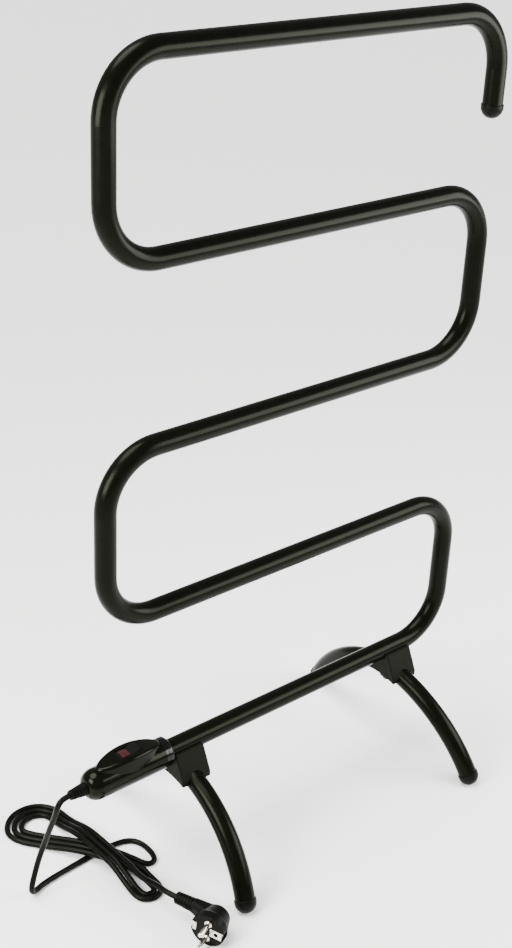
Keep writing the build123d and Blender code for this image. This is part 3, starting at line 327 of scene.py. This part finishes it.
def shellAbs():
    # ABS from a polished mould: near black and glossy, with the seam where the two shells meet
    look = {"hex": "040503", "hexLight": "070805", "rough": 0.10, "roughMost": 0.15, "IOR": 1.54,
            "Specular IOR Level": 0.06, "Specular Tint": "f4f7d8", "cloud": 7.0, "grain": 2.2, "relief": 0.05,
            "seamHalf": 0.22, "seamDepth": 0.25, "seamRelief": 0.8}
    material, tree, shader, place = startMaterial("shellAbs", look)
    mottle(tree, shader, place, look)
    height = addNode(tree, "ShaderNodeSeparateXYZ", None, None, {"Vector": place}).outputs["Z"]
    above = addNode(tree, "ShaderNodeMath", {"operation": "SUBTRACT"}, {secondValue: railZ},
                    {firstValue: height})
    away = addNode(tree, "ShaderNodeMath", {"operation": "ABSOLUTE"}, None, {firstValue: above.outputs[0]})
    flank = addNode(tree, "ShaderNodeMapRange", {"interpolation_type": "SMOOTHSTEP"},
                    {"From Min": 0.0, "From Max": look["seamHalf"] * mm, "To Min": 0.0, "To Max": 1.0},
                    {"Value": away.outputs[0]})
    seam = addNode(tree, "ShaderNodeBump", None,
                   {"Strength": look["seamRelief"], "Distance": look["seamDepth"] * mm},
                   {"Height": flank.outputs["Result"]})
    grain(tree, shader, place, look, seam.outputs["Normal"])
    return material


def rockerPolycarbonate():
    # Polished polycarbonate of the rocker and of the collar: the deepest gloss on the object
    look = {"hex": "060605", "hexLight": "090908", "rough": 0.10, "roughMost": 0.15, "IOR": 1.585,
            "Specular IOR Level": 0.14, "cloud": 4.0, "grain": 1.5, "relief": 0.03}
    return grainedSkin("rockerPolycarbonate", look)


def lensPolycarbonate():
    # Red tinted polycarbonate: light passes in and comes back deep red, with fine ribs that scatter it
    look = {"hex": "240709", "hexLight": "330c0e", "rough": 0.14, "roughMost": 0.20, "IOR": 1.585,
            "Specular IOR Level": 0.3, "Transmission Weight": 0.2, "cloud": 3.0,
            "rib": 1.1, "ribDepth": 0.15, "ribRelief": 0.25}
    material, tree, shader, place = startMaterial("lensPolycarbonate", look)
    mottle(tree, shader, place, look)
    ribs = addNode(tree, "ShaderNodeTexWave", {"wave_type": "BANDS", "bands_direction": "Y"},
                   {"Scale": bandScale(look["rib"]), "Distortion": 0.0}, {"Vector": place})
    relief = addNode(tree, "ShaderNodeBump", None,
                     {"Strength": look["ribRelief"], "Distance": look["ribDepth"] * mm},
                     {"Height": ribs.outputs["Fac"]})
    tree.links.new(relief.outputs["Normal"], shader.inputs["Normal"])
    return material


def cordVinyl():
    # Extruded PVC sheath: dark, with a soft shine and a faintly uneven skin
    look = {"hex": "060705", "hexLight": "0b0c09", "rough": 0.26, "roughMost": 0.36, "IOR": 1.53,
            "Specular IOR Level": 0.04, "Specular Tint": "f6f7e4", "cloud": 8.0, "grain": 1.4, "relief": 0.06}
    return grainedSkin("cordVinyl", look)


def plugVinyl():
    # Overmoulded soft PVC: satin, finely textured, slightly greyer in patches
    look = {"hex": "060605", "hexLight": "0a0b09", "rough": 0.32, "roughMost": 0.44, "IOR": 1.53,
            "Specular IOR Level": 0.035, "Specular Tint": "f6f7e4", "cloud": 5.0, "grain": 0.8,
            "relief": 0.15}
    return grainedSkin("plugVinyl", look)


def capPolyethylene():
    # Moulded polyethylene foot: waxy and a little softer in its shine than the tube
    look = {"hex": "060705", "hexLight": "0a0b09", "rough": 0.30, "roughMost": 0.40, "IOR": 1.51,
            "Specular IOR Level": 0.05, "Specular Tint": "f6f7e4", "cloud": 4.0, "grain": 0.9, "relief": 0.10}
    return grainedSkin("capPolyethylene", look)


def blackNylon():
    # Unfilled black nylon of the inner pieces
    look = {"hex": "151515", "hexLight": "1d1d1c", "rough": 0.42, "roughMost": 0.5, "IOR": 1.53,
            "cloud": 3.0, "grain": 0.8, "relief": 0.12}
    return grainedSkin("blackNylon", look)


def naturalNylon():
    # Uncoloured nylon: milky cream, lets a little light in
    look = {"hex": "d9d4c4", "hexLight": "e6e2d6", "rough": 0.38, "roughMost": 0.48, "IOR": 1.53,
            "Subsurface Weight": 0.15, "Subsurface Scale": 1.0 * mm,
            "cloud": 3.0, "grain": 0.8, "relief": 0.1}
    return grainedSkin("naturalNylon", look)


def earthInsulation():
    # Green with yellow stripes 4 mm apart along the wire
    look = {"hex": "2f6b1f", "hexLight": "3b7a28", "hexStripe": "d8c21c", "rough": 0.35, "roughMost": 0.42,
            "IOR": 1.53, "cloud": 3.0, "stripe": 4.0, "stripeFrom": 0.6}
    material, tree, shader, place = startMaterial("earthInsulation", look)
    tone = mottle(tree, shader, place, look)
    bands = addNode(tree, "ShaderNodeTexWave", {"wave_type": "BANDS", "bands_direction": "X"},
                    {"Scale": bandScale(look["stripe"])}, {"Vector": place})
    edge = addNode(tree, "ShaderNodeMath", {"operation": "GREATER_THAN"}, {secondValue: look["stripeFrom"]},
                   {firstValue: bands.outputs["Fac"]})
    both = addNode(tree, "ShaderNodeMix", {"data_type": "RGBA"}, {mixSecond: toLinear(look["hexStripe"])},
                   {mixFactor: edge.outputs[0], mixFirst: tone.outputs[mixResult]})
    tree.links.new(both.outputs[mixResult], shader.inputs["Base Color"])
    return material


def lampGlass():
    # Clear glass envelope of the lamp, faintly amber from its electrodes
    look = {"hex": "f2cfa8", "hexLight": "f6dcc0", "rough": 0.03, "roughMost": 0.06, "IOR": 1.5,
            "Transmission Weight": 0.9, "cloud": 2.0}
    material, tree, shader, place = startMaterial("lampGlass", look)
    mottle(tree, shader, place, look)
    return material


# Metals: a tumbled or rolled skin, with fine random marks that spread the reflection
nickel = {"hex": "cfc9bc", "hexLight": "e0dbd0", "rough": 0.16, "roughMost": 0.26, "Metallic": 1.0,
          "cloud": 2.5, "grain": 0.6, "relief": 0.06}
zinc = {"hex": "b9bcbe", "hexLight": "cfd1d2", "rough": 0.28, "roughMost": 0.40, "Metallic": 1.0,
        "cloud": 2.0, "grain": 0.5, "relief": 0.12}
brass = {"hex": "c9a35a", "hexLight": "d8b673", "rough": 0.25, "roughMost": 0.36, "Metallic": 1.0,
         "cloud": 2.0, "grain": 0.5, "relief": 0.10}
boltZinc = {"hex": "17181a", "hexLight": "222325", "rough": 0.36, "roughMost": 0.48, "Metallic": 0.6,
            "cloud": 2.0, "grain": 0.6, "relief": 0.12}

# Insulation of the wires in PVC and of the heating cable in silicone rubber: an even colour with a soft shine
brown = {"hex": "5b3217", "hexLight": "6a3d1e", "rough": 0.35, "roughMost": 0.43, "IOR": 1.53,
         "cloud": 3.0, "grain": 0.8, "relief": 0.06}
blue = {"hex": "1f4f9c", "hexLight": "2a5cab", "rough": 0.35, "roughMost": 0.43, "IOR": 1.53,
        "cloud": 3.0, "grain": 0.8, "relief": 0.06}
silicone = {"hex": "93402c", "hexLight": "a24e38", "rough": 0.48, "roughMost": 0.58, "IOR": 1.41,
            "cloud": 4.0, "grain": 0.9, "relief": 0.08}

finishes = {
    powderCoat(): ["rail_tube", "left_leg_tube", "right_leg_tube"],
    mouldedNylon(): ["left_foot_bracket", "right_foot_bracket"],
    shellAbs(): ["housing_upper", "housing_lower", "switch_frame"],
    rockerPolycarbonate(): ["rocker", "tube_collar"],
    lensPolycarbonate(): ["rocker_lens"],
    plugVinyl(): ["plug_body", "plug_core", "plug_relief", "strain_relief"],
    capPolyethylene(): ["hook_cap", "left_front_foot_cap", "left_back_foot_cap",
                        "right_front_foot_cap", "right_back_foot_cap"],
    blackNylon(): ["tube_bush", "switch_body"],
    naturalNylon(): ["blade_sleeves", "terminal_block", "cord_clamp", "thermal_fuse"],
    grainedSkin("nickelPlate", nickel): ["plug_pins", "plug_earth_clips"],
    grainedSkin("zincPlate", zinc): ["left_rivet_nut", "right_rivet_nut", "housing_screws",
                                     "clamp_screws", "earth_band"],
    grainedSkin("rolledBrass", brass): ["switch_blades", "terminal_screws"],
    grainedSkin("blackZinc", boltZinc): ["left_foot_bolt", "right_foot_bolt",
                                         "left_saddle_washer", "right_saddle_washer"],
    grainedSkin("brownInsulation", brown): ["live_wires"],
    grainedSkin("blueInsulation", blue): ["neutral_wires"],
    grainedSkin("siliconeRubber", silicone): ["heating_cable", "cable_end_seal", "splice_sleeve"],
    earthInsulation(): ["earth_wire"],
    lampGlass(): ["indicator_lamp"],
    cordVinyl(): ["cord_inside"],
}
for material, names in finishes.items():
    for name in names:
        nodes[name].data.materials.clear()
        nodes[name].data.materials.append(material)
mainsCord.data.materials.append(nodes["cord_inside"].data.materials[0])      # one sheath from end to end
print("materials on", sum(len(names) for names in finishes.values()), "nodes and the cord")


# Studio: pale floor under a wide soft sun. A box in front on the right makes the streak along the
# middle of the rails, and one on the left makes the sheen on the outer bends. Lengths are in metres.
floorSpec = {"half": 40.0, "hex": "f6f6f4", "rough": 0.85, "fibresPerMetre": 300.0,
             "fibreRelief": 0.02, "fibreDepth": 0.2 * mm}
softSun = {"from": (-0.20, 0.25, 0.95), "aim": (0.0, 0.0, 0.0), "strength": 6.2, "angle": 40.0}
softBoxes = {
    "keyBox": {"place": (0.85, -0.88, 0.78), "aim": (0.0, 0.0, 0.5), "size": (1.0, 0.7), "watts": 38.0},
    "sideBox": {"place": (-1.25, -0.02, 0.98), "aim": (-0.25, 0.0, 0.8), "size": (0.7, 0.7), "watts": 48.0},
}
surround = {"hex": "ffffff", "strength": 0.55}


def makeFloor(spec):
    form = bmesh.new()
    bmesh.ops.create_grid(form, x_segments=1, y_segments=1, size=spec["half"])
    mesh = bpy.data.meshes.new("floor")
    form.to_mesh(mesh)
    form.free()
    obj = bpy.data.objects.new("floor", mesh)
    bpy.context.scene.collection.objects.link(obj)
    material, tree, shader, place = startMaterial("studioPaper", spec)
    fibre = addNode(tree, "ShaderNodeTexNoise", None, {"Scale": spec["fibresPerMetre"], "Detail": 2.0},
                    {"Vector": place})
    soft = addNode(tree, "ShaderNodeBump", None,
                   {"Strength": spec["fibreRelief"], "Distance": spec["fibreDepth"]},
                   {"Height": fibre.outputs["Fac"]})
    tree.links.new(soft.outputs["Normal"], shader.inputs["Normal"])
    mesh.materials.append(material)


def addLight(light, place, aim):
    obj = bpy.data.objects.new(light.name, light)
    facing = (Vector(aim) - Vector(place)).to_track_quat("-Z", "Y")
    obj.matrix_world = Matrix.Translation(place) @ facing.to_matrix().to_4x4()
    bpy.context.scene.collection.objects.link(obj)


def makeSun(spec):
    light = bpy.data.lights.new("softSun", "SUN")
    light.energy = spec["strength"]
    light.angle = math.radians(spec["angle"])
    addLight(light, spec["from"], spec["aim"])


def makeSoftBox(name, spec):
    light = bpy.data.lights.new(name, "AREA")
    light.shape = "RECTANGLE"
    light.size, light.size_y = spec["size"]
    light.energy = spec["watts"]
    addLight(light, spec["place"], spec["aim"])


def makeSurround(spec):
    world = bpy.data.worlds.new("studio")
    bpy.context.scene.world = world
    world.use_nodes = True
    background = world.node_tree.nodes["Background"]
    background.inputs["Color"].default_value = toLinear(spec["hex"])
    background.inputs["Strength"].default_value = spec["strength"]


makeFloor(floorSpec)
makeSun(softSun)
for name, spec in softBoxes.items():
    makeSoftBox(name, spec)
makeSurround(surround)
print("studio lit")

bpy.context.view_layer.update()
